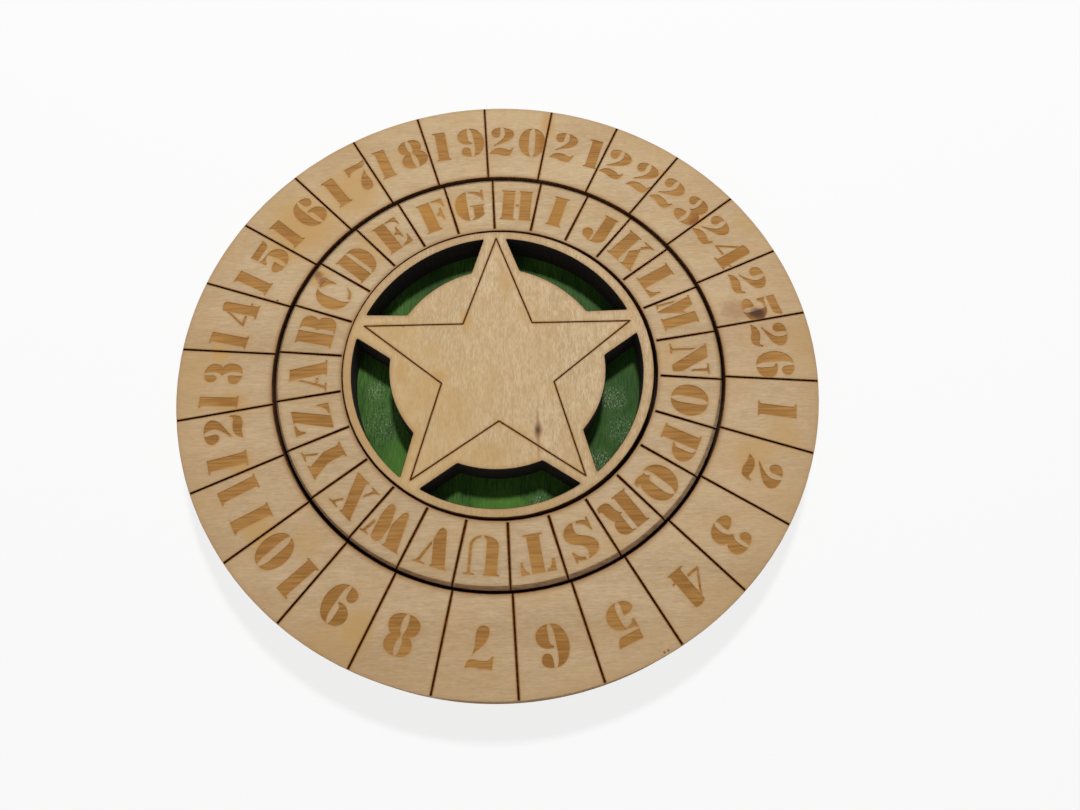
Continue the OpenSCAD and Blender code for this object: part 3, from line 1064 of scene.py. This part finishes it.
class Recipe(Graph):
    """A geometry tree with named inputs."""

    KINDS = {float: "NodeSocketFloat", int: "NodeSocketInt", bpy.types.Material: "NodeSocketMaterial"}

    def __init__(self, name, inputs):
        super().__init__(bpy.data.node_groups.new(name, "GeometryNodeTree"))
        for label, kind in inputs.items():
            self.tree.interface.new_socket(label, in_out="INPUT", socket_type=self.KINDS[kind])
        self.tree.interface.new_socket("Geometry", in_out="OUTPUT", socket_type="NodeSocketGeometry")
        group = self.node("NodeGroupInput", output=None)
        self.inputs = {label: Field(self, group.outputs[label]) for label in inputs}

    def ends(self, geometry, *materials):
        """Realises the instances and gives each selection its material."""
        geometry = self.node("GeometryNodeRealizeInstances", sockets={0: geometry})
        for selection, material in materials:
            sockets = {0: geometry, "Material": material}
            if selection is not None:
                sockets["Selection"] = selection
            geometry = self.node("GeometryNodeSetMaterial", sockets=sockets)
        self.node("NodeGroupOutput", sockets={0: geometry}, output=None)

    def made(self, name, **values):
        """Runs the tree once and gives its result as a plain mesh."""
        holder = add_object(name, bpy.data.meshes.new(name))
        modifier = holder.modifiers.new(name, "NODES")
        modifier.node_group = self.tree
        for socket in self.tree.interface.items_tree:
            if socket.in_out == "INPUT":
                modifier[socket.identifier] = values[socket.name.replace(" ", "_")]
        evaluated = holder.evaluated_get(bpy.context.evaluated_depsgraph_get())
        mesh = bpy.data.meshes.new_from_object(evaluated)
        bpy.data.objects.remove(holder)
        return mesh

    def join(self, first, second):
        """Both geometries as one."""
        both = self.node("GeometryNodeJoinGeometry", sockets={0: first})
        self.tree.links.new(second.socket, both.socket.node.inputs[0])
        return both


def division_lines():
    """Flat strips for a dial's scored lines: one strip, turned to each division."""
    recipe = Recipe(
        "division_lines",
        {
            "Count": int, "Turn": float, "Inner": float, "Outer": float, "Inner Width": float,
            "Outer Width": float, "Burnt": bpy.types.Material,
        },
    )
    count, turn, inner, outer, inner_width, outer_width, burnt = recipe.inputs.values()
    strip = recipe.node("GeometryNodeMeshGrid", sockets={0: outer - inner, 1: 1.0, 2: 2, 3: 2})
    along, across, _ = recipe.split(recipe.node("GeometryNodeInputPosition"))
    taper = recipe.node("FunctionNodeCompare", sockets={0: along, 1: 0.0})
    width = inner_width + taper * (outer_width - inner_width)
    sockets = {0: strip, "Position": recipe.joined(along, across * width)}
    strip = recipe.node("GeometryNodeSetPosition", sockets=sockets)
    sockets = {0: strip, "Translation": recipe.joined((inner + outer) / 2)}
    strip = recipe.node("GeometryNodeTransform", sockets=sockets)
    points = recipe.node("GeometryNodeMeshLine", sockets={"Count": count, "Offset": (0.0, 0.0, 0.0)})
    angle = (turn - recipe.node("GeometryNodeInputIndex") * 360 / count) * (math.pi / 180)
    sockets = {"Points": points, "Instance": strip, "Rotation": recipe.joined(z=angle)}
    recipe.ends(recipe.node("GeometryNodeInstanceOnPoints", sockets=sockets), (None, burnt))
    return recipe


def plain_sheet():
    """A round sheet with or without a round hole, its kerf wandering a little, its corners worn."""
    recipe = Recipe(
        "plain_sheet",
        {
            "Radius": float, "Hole": float, "Low": float, "High": float, "Corner": float,
            "Wander": float, "Seed": int, "Segments": int,
            "Top": bpy.types.Material, "Wall": bpy.types.Material, "Back": bpy.types.Material,
        },
    )
    radius, hole, low, high, corner, wander, seed, segments, top, wall, back = recipe.inputs.values()
    outer, inner = (
        recipe.node("GeometryNodeCurvePrimitiveCircle", sockets={"Resolution": segments, "Radius": reach})
        for reach in (radius - corner, hole + corner)
    )
    pierced = recipe.node("FunctionNodeCompare", sockets={0: hole, 1: 0.0})
    sockets = {"Switch": pierced, "True": inner}
    inner = recipe.node("GeometryNodeSwitch", {"input_type": "GEOMETRY"}, sockets)
    position = recipe.node("GeometryNodeInputPosition")
    sockets = {"Vector": position, "W": seed + 0.5, "Scale": 0.5 / MM, "Detail": 1.0}
    kerf = recipe.node("ShaderNodeTexNoise", {"noise_dimensions": "4D"}, sockets)
    shift = recipe.stretched(recipe.vector_math("NORMALIZE", position), (kerf - 1) * wander)
    sockets = {0: recipe.join(outer, inner), "Offset": shift}
    outlines = recipe.node("GeometryNodeSetPosition", sockets=sockets)
    face = recipe.node("GeometryNodeFillCurve", {"mode": "NGONS"}, {0: outlines})
    sockets = {0: face, "Translation": recipe.joined(z=low)}
    face = recipe.node("GeometryNodeTransform", sockets=sockets)
    level = recipe.scaled(position, (1.0, 1.0, 0.0))
    side = recipe.math("SIGN", recipe.vector_math("LENGTH", level, output="Value") - (radius + hole) / 2)
    outwards = recipe.stretched(recipe.vector_math("NORMALIZE", level), side * corner)
    body, tops = face, None
    for rise, way in ((corner, 1.0), (high - low - 2 * corner, 0.0), (corner, -1.0)):
        sockets = {0: body, "Offset": recipe.joined(z=rise), "Offset Scale": 1.0, "Individual": False}
        if tops is not None:
            sockets["Selection"] = tops
        extruded = recipe.node("GeometryNodeExtrudeMesh", {"mode": "FACES"}, sockets, output=None)
        body, tops = Field(recipe, extruded.outputs["Mesh"]), Field(recipe, extruded.outputs["Top"])
        if way:
            sockets = {0: body, "Selection": tops, "Offset": recipe.stretched(outwards, way)}
            body = recipe.node("GeometryNodeSetPosition", sockets=sockets)
    whole = recipe.join(body, recipe.node("GeometryNodeFlipFaces", sockets={0: face}))
    whole = recipe.node("GeometryNodeMergeByDistance", sockets={0: whole, "Distance": WELD * MM})
    normal_z = recipe.split(recipe.node("GeometryNodeInputNormal"))[2]
    upward = recipe.node("FunctionNodeCompare", sockets={0: normal_z, 1: 0.9})
    downward = recipe.node("FunctionNodeCompare", {"operation": "LESS_THAN"}, {0: normal_z, 1: -0.9})
    recipe.ends(whole, (None, wall), (upward, top), (downward, back))
    return recipe


# Camera, light and floor

# The camera was fitted to the photo. Its place is in millimetres, and its shift is half a pixel
LENS = 28.18
SENSOR_WIDTH = 36
CAMERA_PLACE = (4.585, -64.634, 154.907)
CAMERA_TURN = (21.1175, -0.5249, -1.63)
CAMERA_SHIFT = 0.5 / 1080
NEAREST_SEEN = 0.01

# Lamps: name, place and size in metres, and power
LAMPS = [("key", (0.0425, 0.399, 0.65), 0.09, 4.85), ("fill", (-0.35, -0.5, 0.75), 0.6, 0.9)]
AIR_STRENGTH = 0.12
FLOOR_REACH = 4.0
FLOOR_GLOW = 0.82
FLOOR_GREY = (0.86, 0.86, 0.86, 1.0)
WHITE = (1.0, 1.0, 1.0, 1.0)


def set_camera():
    camera = add_object("camera", bpy.data.cameras.new("camera"))
    camera.data.lens = LENS
    camera.data.sensor_width = SENSOR_WIDTH
    camera.data.clip_start = NEAREST_SEEN
    camera.data.shift_x = -CAMERA_SHIFT
    camera.data.shift_y = CAMERA_SHIFT
    camera.location = Vector(CAMERA_PLACE) * MM
    camera.rotation_euler = [math.radians(angle) for angle in CAMERA_TURN]
    bpy.context.scene.camera = camera


def add_lamp(name, place, size, power):
    """Round lamp that shines on the middle of the wheel."""
    lamp = add_object(name, bpy.data.lights.new(name, "AREA"))
    lamp.data.shape = "DISK"
    lamp.data.size = size
    lamp.data.energy = power
    lamp.location = place
    lamp.rotation_euler = (-Vector(place)).to_track_quat("-Z", "Y").to_euler()


def finish_backdrop(graph, output, lit, seen, share):
    """Ends a tree in what is lit, and for the camera, mirrors and glass in a share of what is seen."""
    path = graph.node("ShaderNodeLightPath", output=None)
    names = ("Is Camera Ray", "Is Glossy Ray", "Is Transmission Ray")
    camera, glossy, passing = (Field(graph, path.outputs[name]) for name in names)
    amount = graph.math("MINIMUM", camera + glossy + passing, 1.0) * share
    both = graph.node("ShaderNodeMixShader", sockets={0: amount, 1: lit, 2: seen})
    graph.node(output, sockets={0: both}, output=None)


def set_stage():
    world = bpy.data.worlds.new("studio")
    bpy.context.scene.world = world
    world.use_nodes = True
    air = Graph(world.node_tree)
    air.tree.nodes.clear()
    dim, white = (
        air.node("ShaderNodeBackground", sockets={"Color": WHITE, "Strength": strength})
        for strength in (AIR_STRENGTH, 1.0)
    )
    finish_backdrop(air, "ShaderNodeOutputWorld", dim, white, 1.0)

    mesh = bpy.data.meshes.new("floor")
    corners = [(x * FLOOR_REACH, y * FLOOR_REACH, 0) for x, y in ((-1, -1), (1, -1), (1, 1), (-1, 1))]
    mesh.from_pydata(corners, [], [(0, 1, 2, 3)])
    floor = add_object("floor", mesh)
    material = bpy.data.materials.new("pale_floor")
    material.use_nodes = True
    card = Graph(material.node_tree)
    card.tree.nodes.clear()
    matt = card.node("ShaderNodeBsdfDiffuse", sockets={"Color": FLOOR_GREY})
    glow = card.node("ShaderNodeEmission", sockets={"Color": WHITE, "Strength": 1.0})
    finish_backdrop(card, "ShaderNodeOutputMaterial", matt, glow, FLOOR_GLOW)
    mesh.materials.append(material)
    for lamp in LAMPS:
        add_lamp(*lamp)


set_camera()
set_stage()
view = bpy.context.scene.view_settings
view.view_transform = "Standard"

# Materials
# Charred walls of the windows and the middle sheets, painted darker than char as painted shade in those
# pockets
middle_wall_char_and_shade = cut_edge("cut_edge_middle", MIDDLE_Z, (16, 11, 8), (40, 26, 16))
window_wall_char_and_shade = cut_edge("cut_edge_medallion", TOP_Z, (15, 11, 8), (40, 26, 16))
# Charred walls of the dial rings, painted lighter than char as painted light where they stand in shade
# between the rings
letter_wall_char_and_light = cut_edge("cut_edge_letter_ring", LETTER_Z, (50, 27, 9), (92, 58, 28))
number_wall_char_and_light = cut_edge("cut_edge_number_ring", TOP_Z, (84, 50, 20), (132, 92, 50))
# Outer walls, painted pale as painted light, so that the wall in shade does not read as a dark line
base_rim_painted_light, middle_rim_painted_light, top_rim_painted_light = (
    cut_edge(f"sanded_rim_{name}", bottom, (172, 136, 96), (210, 176, 134))
    for name, bottom in (("base", BASE_Z), ("middle", MIDDLE_Z), ("top", TOP_Z))
)
number_face = dial_face(
    "number_ring_birch", (204, 176, 138), (178, 148, 111), NUMBER_STAINS, NUMBER_MARKS,
    rim_yellow=0.35,
)
letter_face = dial_face(
    "letter_ring_birch", (202, 175, 138), (176, 148, 110), LETTER_STAINS, LETTER_MARKS
)
engraving = engraved_bottom()
burnt_line = burnt_groove("burnt_line", (64, 28, 2), (112, 62, 14))
burnt_star_line = burnt_groove("burnt_star_line", (74, 32, 0), (112, 62, 10))
bevel = sanded_bevel()
birch_back = bare_back()
# Hidden faces: smoke browning and painted shade of the gaps
smoke_and_shade = smoke_and_shade_face()

# Dials
lines = division_lines()


def line_marks(inner, outer, turn, widths, centre=ORIGIN):
    mesh = lines.made(
        "lines", Count=DIVISIONS, Turn=turn, Inner=inner, Outer=outer, Inner_Width=widths[0],
        Outer_Width=widths[1], Burnt=burnt_line,
    )
    corners = [vertex.co.xy + Vector(centre) for vertex in mesh.vertices]
    return [([corners[v] for v in strip.vertices], LINE_DEPTH, SCORED) for strip in mesh.polygons]


def engraved_marks(places, turn, height):
    return [(points, ENGRAVING_DEPTH, ENGRAVED) for points in characters(places, turn, height)]


add_cut_sheet(
    "number_dial", "wheel_body", "number_ring",
    [
        Rim(circle(WHEEL_R, 1), RIM, RIM),
        Rim(circle(NUMBER_HOLE_R, 2, NUMBER_HOLE)[::-1], WALL, WALL),
    ],
    line_marks(
        NUMBER_HOLE_R - LINE_RUN_OUT, WHEEL_R - NUMBER_LINE_STOP, NUMBER_TURN, NUMBER_LINE_WIDTHS
    )
    + engraved_marks(NUMBER_PLACES, NUMBER_TURN, DIGIT_HEIGHT),
    [number_face, engraving, burnt_line, number_wall_char_and_light, bevel, top_rim_painted_light, birch_back],
)
bevel_widths = np.interp(np.arange(ARC_POINTS) * 360 / ARC_POINTS, *zip(*BEVEL_WIDTHS))
add_cut_sheet(
    "letter_dial", "letter_wheel", "letter_ring",
    [
        Rim(
            circle(LETTER_RING_R, 3, LETTER_RING), BEVEL, WALL, bevel_widths,
            bevel_widths * BEVEL_SLOPE,
        ),
        Rim(circle(LETTER_HOLE_R, 4, LETTER_HOLE)[::-1], WALL, WALL),
    ],
    line_marks(
        LETTER_HOLE_R + LETTER_LINE_STOP, LETTER_RING_R + LINE_RUN_OUT, LETTER_TURN,
        LETTER_LINE_WIDTHS, LETTER_LINES,
    )
    + engraved_marks(LETTER_PLACES, LETTER_TURN, CAP_HEIGHT),
    [letter_face, engraving, burnt_line, letter_wall_char_and_light, bevel, letter_wall_char_and_light, birch_back],
)

# Medallion and the spacer under it, with the same openings
windows = [softened(arc(*window[:3]) + arc(*window[3:])[::-1], CORNER_ROUNDING) for window in WINDOWS]
for name, node, slot, seed, marks, surfaces in (
    (
        "medallion", "star_medallion", "medallion_plywood", 5,
        [(strip, STAR_LINE_DEPTH, SCORED) for strip in star_groove()],
        [medallion_face(), engraving, burnt_star_line, window_wall_char_and_shade, bevel, number_wall_char_and_light, birch_back],
    ),
    (
        "medallion_spacer", "centre_spacer", "charred_plywood", 6, [],
        [smoke_and_shade, smoke_and_shade, smoke_and_shade, middle_wall_char_and_shade, smoke_and_shade, smoke_and_shade, smoke_and_shade],
    ),
):
    rims = [Rim(circle(MEDALLION_R, seed, MEDALLION), RIM, RIM)]
    rims += [Rim(window[::-1], WALL, WALL) for window in windows]
    add_cut_sheet(name, "wheel_body", node, rims, marks, surfaces)

# Plain sheets
sheet = plain_sheet()
for name, body, node, slot, radius, hole, seed, top, wall, back in (
    (
        "base", "wheel_body", "base_disc", "stained_plywood", WHEEL_R, 0.0, 4,
        stained_face(), base_rim_painted_light, birch_back,
    ),
    (
        "rim_spacer", "wheel_body", "spacer_ring", "charred_plywood", WHEEL_R, SPACER_HOLE_R, 10,
        smoke_and_shade, middle_rim_painted_light, smoke_and_shade,
    ),
    (
        "flange", "letter_wheel", "flange_ring", "charred_plywood", FLANGE_R, LETTER_HOLE_R, 6,
        smoke_and_shade, middle_wall_char_and_shade, smoke_and_shade,
    ),
):
    low, high = heights(node)
    mesh = sheet.made(
        name, Radius=radius * MM, Hole=hole * MM, Low=low * MM, High=high * MM,
        Corner=CORNER_W * MM, Wander=KERF_WANDER * MM, Seed=seed, Segments=ARC_POINTS,
        Top=top, Wall=wall, Back=back,
    )
    add_piece(name, mesh, body, node)
